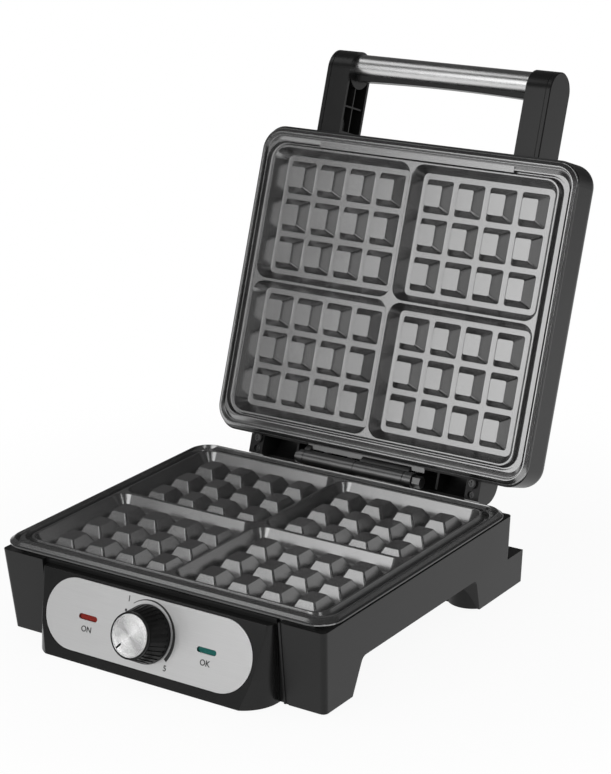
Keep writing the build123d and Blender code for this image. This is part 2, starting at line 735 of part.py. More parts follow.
def make_knob():
    neck = KNOB_LENGTH - KNOB_RIM_LENGTH
    foot_face = Pos(0, 0, KNOB_LIFT) * Circle(KNOB_FOOT_R)
    neck_face = Pos(0, 0, neck) * Circle(KNOB_NECK_R)
    knob = loft([foot_face, neck_face], ruled=True)
    groove_width, groove_depth = KNOB_GROOVE
    run = neck - KNOB_LIFT
    drop = KNOB_FOOT_R - KNOB_NECK_R
    lean_in = atan2(drop, run)
    length = sqrt(run ** 2 + drop ** 2) - KNOB_GROOVE_END
    groove = Box(2 * groove_depth, groove_width, length)
    middle_r = (KNOB_FOOT_R + KNOB_NECK_R) / 2
    middle_z = KNOB_LIFT + (run + KNOB_GROOVE_END) / 2
    tilted = Pos(middle_r, 0, middle_z) * Rot(0, -degrees(lean_in), 0) * groove
    knob -= [Rot(0, 0, 360 * index / KNOB_GROOVES) * tilted for index in range(KNOB_GROOVES)]
    knob += rod_z(KNOB_RIM_R, (neck, KNOB_LENGTH), 0, 0)
    hollow_r, hollow_top = KNOB_HOLLOW
    knob -= rod_z(hollow_r, (0, hollow_top), 0, 0)
    knob -= rod_z(SHAFT_R + HOLE_GAP, (0, SHAFT_SPAN[1] + SHAFT_END_GAP), 0, 0)
    knob -= rod_z(CAP_R + HOLE_GAP, (KNOB_LENGTH - CAP_THICK, KNOB_LENGTH), 0, 0)
    return PANEL * knob


def pointer_form(gap, low, high):
    start, end = POINTER_SPAN
    half = POINTER_WIDTH / 2 + gap
    bar = block((start - gap, end + gap), (-half, half), (low, high))
    return Rot(0, 0, POINTER_ANGLE) * bar


def make_knob_cap():
    span = (KNOB_LENGTH - CAP_THICK, KNOB_LENGTH + CAP_PROUD)
    cap = rod_z(CAP_R, span, 0, 0) - pointer_form(POINTER_GAP, *span)
    return PANEL * cap


def make_pointer():
    return PANEL * pointer_form(0, KNOB_LENGTH - CAP_THICK, KNOB_LENGTH + CAP_PROUD / 2)


# Hinge
def knuckle(span, axis, plate_edge):
    start = Vector(*axis)
    end = Vector(*plate_edge)
    along = (end - start).normalized()
    side = Vector(-along.Y, along.X) * LEAF_WEB_HALF
    corners = [start + side, end + side, end - side, start - side]
    web = make_face(Polyline(*[(p.X, p.Y) for p in corners], close=True))
    return across(web, span) + rod_x(BARREL_R, span, *axis)


def make_base_leaf():
    half_x, low, high = BASE_LEAF
    leaf = block((-half_x, half_x), (REAR_WALL_Y, REAR_WALL_Y + LEAF_THICK), (low, high))
    axis = (HINGE_Y, HINGE_Z)
    for span in KNUCKLE_BASE:
        leaf += knuckle(span, axis, (REAR_WALL_Y + LEAF_THICK / 2, high - LEAF_WEB_HALF))
    leaf -= block((-FAR, FAR), (0, REAR_WALL_Y), (0, FAR))
    leaf -= rod_x(PIN_R + RUNNING_GAP, (-FAR, FAR), *axis)
    for x in BASE_LEAF_SCREWS:
        leaf -= rod_y(HOLE_R, (REAR_WALL_Y, REAR_WALL_Y + LEAF_THICK), x, BASE_LEAF_SCREW_Z)
    return leaf


def make_base_leaf_screws():
    seat = REAR_WALL_Y + LEAF_THICK
    places = [(x, seat, BASE_LEAF_SCREW_Z) for x in BASE_LEAF_SCREWS]
    return group([screw_at(place, (0, 1, 0), LEAF_SCREW_LENGTH) for place in places])


def make_lid_leaf():
    """An angle plate: screwed under the lid's wall, with an apron that shows above the barrel."""
    half_x, low, high = LID_LEAF
    edge_v = -LID_HALF[1]
    axis = (HINGE_V, HINGE_W)
    leaf = block((-half_x, half_x), (edge_v - LEAF_THICK, edge_v), (low, high))
    leaf += block((-half_x, half_x), LID_LEAF_APRON, (high - LEAF_THICK, high))
    apron_edge = (LID_LEAF_APRON[0] + LEAF_WEB_HALF, high - LEAF_THICK / 2)
    for span in KNUCKLE_LID:
        leaf += knuckle(span, axis, apron_edge)
    for low_x, high_x in KNUCKLE_BASE:
        leaf -= rod_x(LEAF_CLEAR_R, (low_x - KNUCKLE_GAP, high_x + KNUCKLE_GAP), *axis)
    leaf -= rod_x(PIN_R + RUNNING_GAP, (-FAR, FAR), *axis)
    for x in LID_LEAF_SCREWS:
        leaf -= rod_y(HOLE_R, (edge_v - LEAF_THICK, edge_v), x, LID_LEAF_SCREW_W)
    return LID * leaf


def make_lid_leaf_screws():
    seat = -LID_HALF[1] - LEAF_THICK
    places = [(x, seat, LID_LEAF_SCREW_W) for x in LID_LEAF_SCREWS]
    return group([LID * screw_at(place, (0, -1, 0), LEAF_SCREW_LENGTH) for place in places])


def make_hinge_pin():
    low, high, head_r = PIN_HEAD
    pin = rod_x(PIN_R, (PIN_CLIP[0] - PIN_TAIL, low), HINGE_Y, HINGE_Z)
    hexagon = Pos(HINGE_Y, HINGE_Z) * RegularPolygon(head_r, 6)
    return pin + across(hexagon, (low, high))


def make_hinge_clip():
    low, high, radius = PIN_CLIP
    clip = rod_x(radius, (low, high), HINGE_Y, HINGE_Z)
    return clip - rod_x(PIN_R + HOLE_GAP, (low, high), HINGE_Y, HINGE_Z)


# Lid housing
def hood_face(inset):
    front_top, front_low = HOOD_FRONT_V
    points = [(front_top, 0), (front_low + inset, 0), (HOOD_LOW[0] + inset, HOOD_LOW[1])]
    bend = (HOOD_BEND[0] + inset / sqrt(2), HOOD_BEND[1] + inset / sqrt(2))
    back = (HOOD_BACK[0], HOOD_BACK[1] + inset)
    edges = [Polyline(*points), ThreePointArc(points[-1], bend, back), Line(back, points[0])]
    return make_face(edges)


def make_lid_housing():
    half_x, half_v = LID_HALF
    outer = slab((half_x, half_v, LID_CORNER_R), LID_BACK_W, LID_EDGE_W)
    outer = fillet(outer.edges().group_by(Axis.Z)[0], LID_BACK_R)
    deck_low = DECK_W - DECK_THICK
    inner_size = (half_x - WALL, half_v - WALL, LID_CORNER_R - WALL)
    inner = slab(inner_size, LID_BACK_W + WALL, deck_low)
    inner = fillet(inner.edges().group_by(Axis.Z)[0], LID_BACK_R - WALL)
    shell = outer - inner
    shell -= slab(DECK_OPENING, deck_low - 1, LID_EDGE_W + 1)
    shell -= slab(LID_REBATE, DECK_W, LID_EDGE_W + 1)
    hood = across(hood_face(0), (-HOOD_HALF_X, HOOD_HALF_X))
    ear_x = HOOD_HALF_X - HOOD_EAR
    hood -= across(hood_face(HOOD_WALL), (-ear_x, ear_x))
    hood -= block((-ear_x, ear_x), (-FAR, -half_v), (HOOD_LIP_W, FAR))
    hood -= block((-FAR, FAR), (-half_v, 0), (LID_EDGE_W, FAR))
    inside = across(hood_face(HOOD_WALL / 2), HOOD_RIB_X)
    rib = inside & block((-FAR, FAR), HOOD_RIB_V, (-FAR, HOOD_RIB_W))
    hood += both_sides(rib)
    overlap = LIP_ROUND
    hood -= slab((half_x - overlap, half_v - overlap, LID_CORNER_R - overlap), LID_BACK_W, LID_EDGE_W)
    shell += hood
    for v, boss_w in zip(HOOD_SCREW_V, HOOD_BOSS_W):
        seat_w = boss_w - HOOD_SCREW_SINK
        boss = rod_z(HOOD_BOSS_R, (HOOD_EAR_LOW_W, boss_w), HOOD_SCREW_X, v)
        boss -= block((-FAR, FAR), (-half_v + LIP_ROUND, 0), (LID_EDGE_W, FAR))
        shell += both_sides(boss)
        shell -= both_sides(rod_z(HOOD_SCREW_HEAD[0] + HOLE_GAP, (seat_w, FAR), HOOD_SCREW_X, v))
        shell -= both_sides(rod_z(HOLE_R, (seat_w - HOOD_SCREW_GRIP, FAR), HOOD_SCREW_X, v))
    leaf_x = LID_LEAF[0] + HOLE_GAP
    leaf_low_w = LID_LEAF[2] - LEAF_THICK - HOLE_GAP
    shell -= block((-leaf_x, leaf_x), (-half_v - 1, LID_LEAF_APRON[1] + HOLE_GAP), (leaf_low_w, FAR))
    for x, v in plate_corners():
        shell -= rod_z(HOLE_R, (deck_low, DECK_W), x, v)
    for x in LID_LEAF_SCREWS:
        shell -= rod_y(HOLE_R, (-half_v, -half_v + WALL), x, LID_LEAF_SCREW_W)
    for side in (-1, 1):
        for w in ARM_SCREW_W:
            shell -= rod_y(HOLE_R, (half_v - WALL, half_v), side * ARM_SCREW_X, w)
    return LID * shell


def make_hood_screws():
    screws = []
    for v, boss_w in zip(HOOD_SCREW_V, HOOD_BOSS_W):
        place = (HOOD_SCREW_X, v, boss_w - HOOD_SCREW_SINK)
        screws += both_sides(screw_at(place, (0, 0, 1), HOOD_SCREW_GRIP, HOOD_SCREW_HEAD))
    return group([LID * one for one in screws])


# Handle, drawn for the right side
def arm_face(inset):
    back, front = ARM_W
    middle_w = (back + front) / 2
    radius = (front - back) / 2 - inset
    end_v = ARM_END_V - (front - back) / 2
    start_v = LID_HALF[1] + inset
    sides = [Line((start_v, back + inset), (end_v, back + inset)),
             ThreePointArc((end_v, back + inset), (end_v + radius, middle_w), (end_v, front - inset)),
             Line((end_v, front - inset), (start_v, front - inset)),
             Line((start_v, front - inset), (start_v, back + inset))]
    return make_face(sides)


def make_arm():
    inner_x, outer_x = ARM_X
    back, front = ARM_W
    start_v = LID_HALF[1]
    outline = across(arm_face(0), (inner_x, outer_x))
    outline = fillet(outline.faces().sort_by(Axis.X)[-1].edges().sort_by(Axis.Y)[1:], ARM_EDGE_R)
    pocket = across(arm_face(ARM_WALL), (inner_x, outer_x - ARM_WALL))
    arm = outline - pocket
    web_x = outer_x - ARM_WALL
    arm += outline & rod_x(TUBE_SEAT_R, (inner_x, web_x), TUBE_SEAT_V, TUBE_W)
    half = RIB_THICK / 2
    rib_x = (inner_x + 1, web_x)
    long_end = TUBE_SEAT_V - TUBE_SEAT_R + RIB_THICK
    arm += block(rib_x, (start_v, long_end), (ARM_LONG_RIB_W - half, ARM_LONG_RIB_W + half))
    rib_w = (back + RIB_THICK, front - RIB_THICK)
    arm += block(rib_x, (ARM_CROSS_RIB_V - half, ARM_CROSS_RIB_V + half), rib_w)
    short_w, short_end = ARM_SHORT_RIB
    arm += block(rib_x, (start_v, short_end), (short_w - half, short_w + half))
    for w in ARM_SCREW_W:
        arm += rod_y(SCREW_HEAD[0], (start_v, start_v + ARM_POST), ARM_SCREW_X, w)
        arm -= rod_y(HOLE_R, (start_v, start_v + ARM_POST - 1), ARM_SCREW_X, w)
    arm -= rod_x(TUBE_R + HOLE_GAP, (inner_x - 1, TUBE_END_X + 2 * HOLE_GAP), TUBE_V, TUBE_W)
    arm -= rod_x(HOLE_R, (TUBE_END_X, outer_x), TUBE_V, TUBE_W)
    return arm


def make_arm_cover():
    outer_x = ARM_X[1]
    cover = across(arm_face(0), (outer_x, ARM_COVER_X))
    cover = chamfer(cover.faces().sort_by(Axis.X)[-1].edges(), ARM_COVER_BREAK)
    head_r, head_height = SCREW_HEAD
    well = (outer_x, outer_x + head_height + ARM_COVER_GAP)
    return cover - rod_x(head_r + ARM_COVER_GAP, well, TUBE_V, TUBE_W)


def make_handle_tube():
    span = (-TUBE_END_X, TUBE_END_X)
    tube = rod_x(TUBE_R, span, TUBE_V, TUBE_W) - rod_x(TUBE_R - TUBE_WALL, span, TUBE_V, TUBE_W)
    return LID * tube


def make_handle_core():
    span = (-TUBE_END_X, TUBE_END_X)
    core = rod_x(TUBE_R - TUBE_WALL - HOLE_GAP, span, TUBE_V, TUBE_W)
    core -= both_sides(rod_x(HOLE_R, (TUBE_END_X - HANDLE_SCREW_LENGTH, TUBE_END_X), TUBE_V, TUBE_W))
    return LID * core


def make_handle_saddle():
    half_x = ARM_X[0] - 2 * HOLE_GAP
    arch = ThreePointArc((-half_x, SADDLE_END_V), (0, SADDLE_MIDDLE_V), (half_x, SADDLE_END_V))
    face = make_face([arch, Polyline((half_x, SADDLE_END_V), (half_x, TUBE_V), (-half_x, TUBE_V),
                                     (-half_x, SADDLE_END_V))])
    saddle = Pos(0, 0, TUBE_W - SADDLE_HALF_W) * extrude(face, amount=2 * SADDLE_HALF_W)
    saddle = fillet(saddle.faces().sort_by(Axis.Y)[0].edges().filter_by(GeomType.CIRCLE), SADDLE_ROUND)
    saddle -= rod_x(TUBE_R + HOLE_GAP, (-FAR, FAR), TUBE_V, TUBE_W)
    return LID * saddle.solids().sort_by(Axis.Y)[0]


def make_arm_screws():
    seat = LID_HALF[1] - WALL
    places = [(side * ARM_SCREW_X, seat, w) for side in (1, -1) for w in ARM_SCREW_W]
    length = WALL + ARM_POST - 2
    return group([LID * screw_at(place, (0, -1, 0), length) for place in places])


def make_handle_screws():
    screws = []
    for side in (1, -1):
        place = (side * ARM_X[1], TUBE_V, TUBE_W)
        screws.append(LID * screw_at(place, (side, 0, 0), HANDLE_SCREW_LENGTH))
    return group(screws)


# Supply parts inside the base
def make_cord_gland():
    x, z = GLAND_PLACE
    gland = rod_y(GLAND_NECK_R, GLAND_SPAN, x, z)
    gland += rod_y(GLAND_FLANGE_R, (REAR_WALL_Y, REAR_WALL_Y + GLAND_FLANGE_THICK), x, z)
    inner_face = REAR_WALL_Y - WALL
    gland += rod_y(GLAND_FLANGE_R, (inner_face - GLAND_FLANGE_THICK, inner_face), x, z)
    return gland - rod_y(GLAND_BORE_R, GLAND_SPAN, x, z)


def make_terminal_block():
    x, y = TERMINAL_PLACE
    width, depth, height = TERMINAL_SIZE
    body = Pos(x, y, COVER_SEAT_Z + height / 2) * Box(width, depth, height)
    span = (COVER_SEAT_Z + TERMINAL_WELL_LOW, COVER_SEAT_Z + height)
    for step in (-1, 0, 1):
        body -= rod_z(TERMINAL_WELL_R, span, x + step * TERMINAL_WELL_PITCH, y)
    return body


def make_thermal_fuse():
    x, y = FUSE_PLACE
    under = PLATE_TOP_Z + TRAY_FLOOR_W
    half = FUSE_LENGTH / 2
    fuse = rod_x(FUSE_R, (x - half, x + half), y, under - FUSE_R)
    clip_x, clip_y, clip_thick = FUSE_CLIP
    clip = block((x - clip_x, x + clip_x), (y - clip_y, y + clip_y), (under - clip_thick, under))
    return fuse + clip


# Every piece, by name
arm = make_arm()
arm_cover = make_arm_cover()
NODES = {
    "base_housing": make_base_housing(),
    "bottom_cover": make_bottom_cover(),
    "bottom_cover_screws": make_cover_screws(),
    "rubber_feet": make_rubber_feet(),
    "control_fascia": make_control_fascia(),
    "fascia_screws": make_fascia_screws(),
    "panel_plate": make_panel_plate(),
    "power_lens": make_lens(-LENS_X),
    "ready_lens": make_lens(LENS_X),
    "indicator_lamps": make_lamps(),
    "lamp_holders": make_lamp_holders(),
    "thermostat": make_thermostat(),
    "thermostat_nut": make_thermostat_nut(),
    "lower_plate": LOWER * make_plate(HINGE_BAND),
    "lower_heating_element": LOWER * make_element(),
    "lower_reflector": LOWER * make_reflector(),
    "lower_plate_screws": LOWER * make_plate_screws(),
    "thermal_fuse": make_thermal_fuse(),
    "terminal_block": make_terminal_block(),
    "cord_gland": make_cord_gland(),
    "base_hinge_leaf": make_base_leaf(),
    "base_hinge_screws": make_base_leaf_screws(),
    "hinge_pin": make_hinge_pin(),
    "hinge_clip": make_hinge_clip(),
    "lid_housing": make_lid_housing(),
    "hood_screws": make_hood_screws(),
    "upper_plate": LID * make_plate(FAR_BAR),
    "upper_heating_element": LID * make_element(),
    "upper_reflector": LID * make_reflector(),
    "upper_plate_screws": LID * make_plate_screws(),
    "lid_hinge_leaf": make_lid_leaf(),
    "lid_hinge_screws": make_lid_leaf_screws(),
    "handle_arm_right": LID * arm,
    "handle_arm_left": LID * mirror(arm, about=Plane.YZ),
    "arm_cover_right": LID * arm_cover,
    "arm_cover_left": LID * mirror(arm_cover, about=Plane.YZ),
    "arm_screws": make_arm_screws(),
    "handle_tube": make_handle_tube(),
    "handle_core": make_handle_core(),
    "handle_saddle": make_handle_saddle(),
    "handle_screws": make_handle_screws(),
    "control_knob": make_knob(),
    "knob_cap": make_knob_cap(),
    "knob_pointer": make_pointer(),
    "thermostat_shaft": make_shaft(),
}

# The origin goes under the middle of the open shape
boxes = [shape.bounding_box() for shape in NODES.values()]
front_y = min(box.min.Y for box in boxes)
back_y = max(box.max.Y for box in boxes)
TO_ORIGIN = Pos(0, -(front_y + back_y) / 2, 0)
os.makedirs("parts", exist_ok=True)
for name, shape in NODES.items():
    export_step(TO_ORIGIN * shape, f"parts/{name}.step")

# Places that the joints and mounts use
print("origin moved by", TO_ORIGIN.position.Y)
print("hinge axis", (TO_ORIGIN * Pos(hinge_point)).position)
print("knob axis", (TO_ORIGIN * PANEL).position, "inward", -panel_out)
print("gland", TO_ORIGIN.position.Y + GLAND_SPAN[1], GLAND_PLACE)
print("heel back face", TO_ORIGIN.position.Y + HEEL_BACK_Y)
print("height", max(box.max.Z for box in boxes), "depth", back_y - front_y)
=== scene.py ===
# %% [markdown]
# # A Belgian waffle maker on a white studio table
# The machine stands open, seen from its front right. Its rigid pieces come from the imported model, which
# already has every shell, plate, hinge and screw at its real size and place. This lesson gives each of
# them its finish, adds the printing on the control panel, and lights the whole as a product photograph.
# Nothing here moves or resizes a piece of the model.

# %% Load the frame
import json
import math
import bpy
import bmesh
from mathutils import Matrix, Vector


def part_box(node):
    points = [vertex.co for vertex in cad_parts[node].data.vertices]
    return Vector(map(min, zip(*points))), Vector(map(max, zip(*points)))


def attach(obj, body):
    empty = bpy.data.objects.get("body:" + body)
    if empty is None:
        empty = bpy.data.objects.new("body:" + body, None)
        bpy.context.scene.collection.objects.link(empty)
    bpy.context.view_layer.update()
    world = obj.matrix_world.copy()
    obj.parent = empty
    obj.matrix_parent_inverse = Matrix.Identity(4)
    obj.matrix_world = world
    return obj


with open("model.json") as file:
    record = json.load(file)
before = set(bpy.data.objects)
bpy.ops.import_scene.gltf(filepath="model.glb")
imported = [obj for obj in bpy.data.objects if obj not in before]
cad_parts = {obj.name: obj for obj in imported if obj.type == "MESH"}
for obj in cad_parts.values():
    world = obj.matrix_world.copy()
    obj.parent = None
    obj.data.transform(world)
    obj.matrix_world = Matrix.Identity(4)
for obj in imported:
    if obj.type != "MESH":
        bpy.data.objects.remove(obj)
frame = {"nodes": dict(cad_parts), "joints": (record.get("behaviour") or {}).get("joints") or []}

MM = 0.001
nodes = frame["nodes"]
joints = {joint["name"]: joint for joint in frame["joints"]}
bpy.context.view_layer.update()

# %% [markdown]
# ## The camera
# A long lens, well back and a little above the table, keeps the machine's edges nearly parallel, as
# catalogue pictures do. Its place, its two angles and its small roll were worked out from the knob grids
# of the two baking plates. Film and focal length follow from the image's height in pixels, because
# Blender fits the sensor to the longer side of a picture.

# %% Place the camera
IMAGE = (611, 774)
FOCAL_PIXELS = 2294.5
PICTURE_MIDDLE = (305.2, 383.0)
CAMERA_PLACE = Vector((0.8246, -1.17899, 0.6241))
CAMERA_AZIMUTH = math.radians(34.946)
CAMERA_ELEVATION = math.radians(18.487)
CAMERA_ROLL = math.radians(-1.304)

back = Vector((math.sin(CAMERA_AZIMUTH) * math.cos(CAMERA_ELEVATION),
               -math.cos(CAMERA_AZIMUTH) * math.cos(CAMERA_ELEVATION), math.sin(CAMERA_ELEVATION)))
level = Vector((math.cos(CAMERA_AZIMUTH), math.sin(CAMERA_AZIMUTH), 0))
upright = back.cross(level)
right = level * math.cos(CAMERA_ROLL) + upright * math.sin(CAMERA_ROLL)
up = upright * math.cos(CAMERA_ROLL) - level * math.sin(CAMERA_ROLL)

camera = bpy.data.objects.new("camera", bpy.data.cameras.new("camera"))
bpy.context.scene.collection.objects.link(camera)
camera.matrix_world = Matrix.Translation(CAMERA_PLACE) @ Matrix((right, up, back)).transposed().to_4x4()
camera.data.sensor_width = 36
camera.data.lens = FOCAL_PIXELS * camera.data.sensor_width / max(IMAGE)
camera.data.shift_x = (IMAGE[0] / 2 - PICTURE_MIDDLE[0]) / max(IMAGE)
camera.data.shift_y = (PICTURE_MIDDLE[1] - IMAGE[1] / 2) / max(IMAGE)
camera.data.clip_end = 50
bpy.context.scene.camera = camera
bpy.context.scene.view_settings.view_transform = "Standard"
print("lens", round(camera.data.lens, 1), "mm,", round(CAMERA_PLACE.length, 2), "m from the machine")

# %% [markdown]
# ## Shader maths that reads like maths
# A finish is a network of nodes, and networks are hard to read as code. Wrapping a socket in a small
# class with the usual operators lets `0.3 + 0.1 * grain` add the Math nodes by itself. Every other kind
# of node comes from one method, which takes the node's type, its settings and what goes into its sockets.

# %% Sockets that can be added and multiplied
class Wire:
    """The output of a shader node. Arithmetic on it adds Math nodes to the same finish."""

    def __init__(self, finish, socket):
        self.finish = finish
        self.socket = socket

    def math(self, operation, first, second):
        return self.finish.node("ShaderNodeMath", {"operation": operation}, {0: first, 1: second})

    def __add__(self, other):
        return self.math("ADD", self, other)

    def __radd__(self, other):
        return self.math("ADD", other, self)

    def __sub__(self, other):
        return self.math("SUBTRACT", self, other)

    def __rsub__(self, other):
        return self.math("SUBTRACT", other, self)

    def __mul__(self, other):
        return self.math("MULTIPLY", self, other)

    def __rmul__(self, other):
        return self.math("MULTIPLY", other, self)


def join(tree, socket, value):
    if isinstance(value, Wire):
        tree.links.new(value.socket, socket)
    else:
        socket.default_value = value


def add_node(finish, tree, kind, settings, sockets, out):
    node = tree.nodes.new(kind)
    for name, value in settings.items():
        if name == "stops":
            for stop, (place, colour) in zip(ramp_stops(node, len(value)), value):
                stop.position = place
                stop.color = colour
        else:
            setattr(node, name, value)
    for name, value in sockets.items():
        join(tree, node.inputs[name], value)
    return Wire(finish, node.outputs[out])


def ramp_stops(node, count):
    while len(node.color_ramp.elements) < count:
        node.color_ramp.elements.new(1.0)
    return node.color_ramp.elements


class Finish:
    """One material: its tree, its main shader, and the method that adds any node."""

    def __init__(self, name, **constants):
        self.material = bpy.data.materials.new(name)
        self.material.use_nodes = True
        self.tree = self.material.node_tree
        self.shader = self.tree.nodes["Principled BSDF"]
        for socket, value in constants.items():
            self.feed(socket.replace("_", " "), value)

    def node(self, kind, settings=None, sockets=None, out=0):
        return add_node(self, self.tree, kind, settings or {}, sockets or {}, out)

    def feed(self, socket, value):
        join(self.tree, self.shader.inputs[socket], value)

    def place(self, stretch=(1, 1, 1)):
        """Where a point is on its piece, in metres, stretched along each axis."""
        where = self.node("ShaderNodeTexCoord", out="Object")
        return self.node("ShaderNodeVectorMath", {"operation": "MULTIPLY"}, {0: where, 1: stretch})

    def noise(self, where, scale, detail=2.0):
        return self.node("ShaderNodeTexNoise", {}, {"Vector": where, "Scale": scale, "Detail": detail})

    def reach(self, where, origin, axis):
        """How far a point is from the origin along an axis, on either side."""
        offset = self.node("ShaderNodeVectorMath", {"operation": "SUBTRACT"}, {0: where, 1: origin})
        along = self.node("ShaderNodeVectorMath", {"operation": "DOT_PRODUCT"},
                          {0: offset, 1: axis}, out="Value")
        return along.math("ABSOLUTE", along, 0.0)

    def band(self, factor, low, high):
        """0 below low, 1 above high, and a smooth step between them."""
        return self.node("ShaderNodeMapRange", {"interpolation_type": "SMOOTHSTEP"},
                         {"Value": factor, "From Min": low, "From Max": high})

    def shades(self, factor, dark, light):
        """A colour between dark and light."""
        return self.node("ShaderNodeMix", {"data_type": "RGBA"},
                         {"Factor": factor, 6: (*dark, 1), 7: (*light, 1)}, out=2)

    def bump(self, height, depth):
        return self.node("ShaderNodeBump", {}, {"Height": height, "Distance": depth, "Strength": 1.0})


def grey(value):
    return (value, value, value)


def dress(finish, *names):
    for name in names:
        for slot in nodes[name].material_slots:
            slot.material = finish.material
    print(finish.material.name, "on", ", ".join(names))


# %% [markdown]
# ## Satin black shells
# The base and the lid are moulded in black glass-filled plastic. It is nearly black, and what shows is
# its sheen: soft, broad reflections with a very fine orange-peel grain from the mould. A fine noise for
# the grain and a slow one for the roughness are enough.

# %% Dress the shells
shell = Finish("satin_black_shell", Metallic=0.0, Specular_IOR_Level=0.25)
shell_place = shell.place()
shell_cloud = shell.noise(shell_place, 18, 3)
shell_grain = shell.noise(shell_place, 2600, 2)
shell.feed("Base Color", shell.shades(shell_cloud, grey(0.009), grey(0.013)))
shell.feed("Roughness", 0.3 + 0.08 * shell_cloud)
shell.feed("Normal", shell.bump(shell_grain, 0.00001))
dress(shell, "base_housing", "lid_housing", "handle_saddle", "handle_core")

# %% [markdown]
# ## Smoother black trim
# The fascia round the control panel, the handle's arms and the knob are moulded in a polished tool, so
# they reflect more sharply than the shells. The same recipe with a shallower grain and less roughness
# does.

# %% Dress the trim
trim = Finish("smooth_black_trim", Metallic=0.0, Specular_IOR_Level=0.28)
trim_place = trim.place()
trim_cloud = trim.noise(trim_place, 22, 3)
trim_grain = trim.noise(trim_place, 1500, 2)
trim.feed("Base Color", trim.shades(trim_cloud, grey(0.008), grey(0.012)))
trim.feed("Roughness", 0.22 + 0.07 * trim_cloud)
trim.feed("Normal", trim.bump(trim_grain, 0.000006))
dress(trim, "control_fascia", "handle_arm_left", "handle_arm_right", "arm_cover_left", "arm_cover_right",
      "control_knob", "knob_pointer")

# %% [markdown]
# ## The non-stick coating
# Both plates are cast aluminium under a sprayed and baked coating. It is dark grey with a metallic cast,
# and its reflections are wide: a slope that faces the lights looks pale, and one that faces the dark
# looks black. A mostly metallic surface with a middling roughness behaves like that. The spray leaves a
# fine pebbled grain, and the lip round the outside keeps the coarser skin of the sand casting. The lip is
# found from how far a point is from the plate's middle, along the plate's own two directions.

# %% Find the two plates' own directions
hinge_joint = joints["lid_hinge"]
lid_lean = math.radians(hinge_joint["range_deg"][1] - 90)
ACROSS = Vector((1, 0, 0))
lid_up = Vector((0, math.sin(lid_lean), math.cos(lid_lean)))
plate_middles = {}
for plate_name in ("lower_plate", "upper_plate"):
    low_corner, high_corner = [Vector(corner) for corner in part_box(plate_name)]
    plate_middles[plate_name] = (low_corner + high_corner) / 2
    print(plate_name, "middle", [round(v / MM, 1) for v in plate_middles[plate_name]], "mm")

# %% Dress the baking plates
LIP_FROM = Vector((126.6, 107.9)) * MM
LIP_FADE = 0.4 * MM
LIP_DARKER, LIP_ROUGHER, LIP_COARSER = 0.6, 0.14, 5.0


def coated_plate(name, middle, along):
    coating = Finish(name, Metallic=0.95)
    where = coating.place()
    cloud = coating.noise(where, 30, 3)
    grain = coating.noise(where, 1500, 3)
    casting = coating.noise(where, 620, 4)
    across_lip = coating.band(coating.reach(where, middle, ACROSS), LIP_FROM.x, LIP_FROM.x + LIP_FADE)
    along_lip = coating.band(coating.reach(where, middle, along), LIP_FROM.y, LIP_FROM.y + LIP_FADE)
    lip = across_lip.math("MAXIMUM", across_lip, along_lip)
    coating.feed("Base Color", (0.25 + 0.07 * cloud) * (1 - LIP_DARKER * lip))
    coating.feed("Roughness", 0.22 + 0.06 * cloud + LIP_ROUGHER * lip)
    coating.feed("Normal", coating.bump(grain + LIP_COARSER * (lip * casting), 0.00002))
    return coating


dress(coated_plate("lower_plate_coating", plate_middles["lower_plate"], Vector((0, 1, 0))), "lower_plate")
dress(coated_plate("upper_plate_coating", plate_middles["upper_plate"], lid_up), "upper_plate")

# %% [markdown]
# ## Brushed steel
# The panel and the handle tube are stainless steel, brushed along their length. Brushing is a noise that
# changes quickly across the strokes and slowly along them, so its coordinates are stretched before the
# noise is made.

# %% Dress the panel and the tube
def brushed_steel(name, stretch, base, rough):
    steel = Finish(name, Metallic=1.0)
    strokes = steel.noise(steel.place(stretch), 1.0, 4)
    patches = steel.noise(steel.place(), 25, 2)
    steel.feed("Base Color", steel.shades(strokes, grey(base - 0.06), grey(base + 0.04)))
    steel.feed("Roughness", rough + 0.12 * strokes + 0.05 * patches)
    steel.feed("Normal", steel.bump(strokes, 0.000012))
    return steel


dress(brushed_steel("brushed_panel_steel", (40, 3500, 3500), 0.62, 0.34), "panel_plate")
dress(brushed_steel("brushed_tube_steel", (60, 2500, 2500), 0.66, 0.20), "handle_tube")

# %% [markdown]
# ## Spun aluminium cap
# The cap of the knob is turned on a lathe. Its fine rings spread a lamp's reflection outwards, which
# draws the bright wedges that turn with the light and not with the knob. Rings around the knob's own
# axis in a bump do it: the knob's place and axis come from the joint.

# %% Dress the knob cap
knob_joint = joints["knob_turn"]
panel_middle = Vector(knob_joint["pos_m"])
panel_out = -Vector(knob_joint["axis"])
panel_up = panel_out.cross(ACROSS)
panel_turn = Matrix((ACROSS, panel_up, panel_out)).transposed().to_4x4()
PANEL = Matrix.Translation(panel_middle) @ panel_turn

spun = Finish("spun_aluminium", Metallic=1.0)
from_axis = spun.node("ShaderNodeVectorMath", {"operation": "SUBTRACT"},
                      {0: spun.place(), 1: panel_middle})
along = spun.node("ShaderNodeVectorMath", {"operation": "DOT_PRODUCT"},
                  {0: from_axis, 1: panel_out}, out="Value")
axis_part = spun.node("ShaderNodeVectorMath", {"operation": "SCALE"}, {0: panel_out, "Scale": along})
radial = spun.node("ShaderNodeVectorMath", {"operation": "SUBTRACT"}, {0: from_axis, 1: axis_part})
radius = spun.node("ShaderNodeVectorMath", {"operation": "LENGTH"}, {0: radial}, out="Value")
ring_place = spun.node("ShaderNodeCombineXYZ", {}, {"X": radius})
rings = spun.noise(ring_place, 9000, 2)
spun.feed("Base Color", spun.shades(rings, grey(0.72), grey(0.86)))
spun.feed("Roughness", 0.22 + 0.08 * rings)
spun.feed("Normal", spun.bump(rings, 0.00006))
dress(spun, "knob_cap")
print("panel middle", [round(v / MM, 1) for v in panel_middle], "mm")

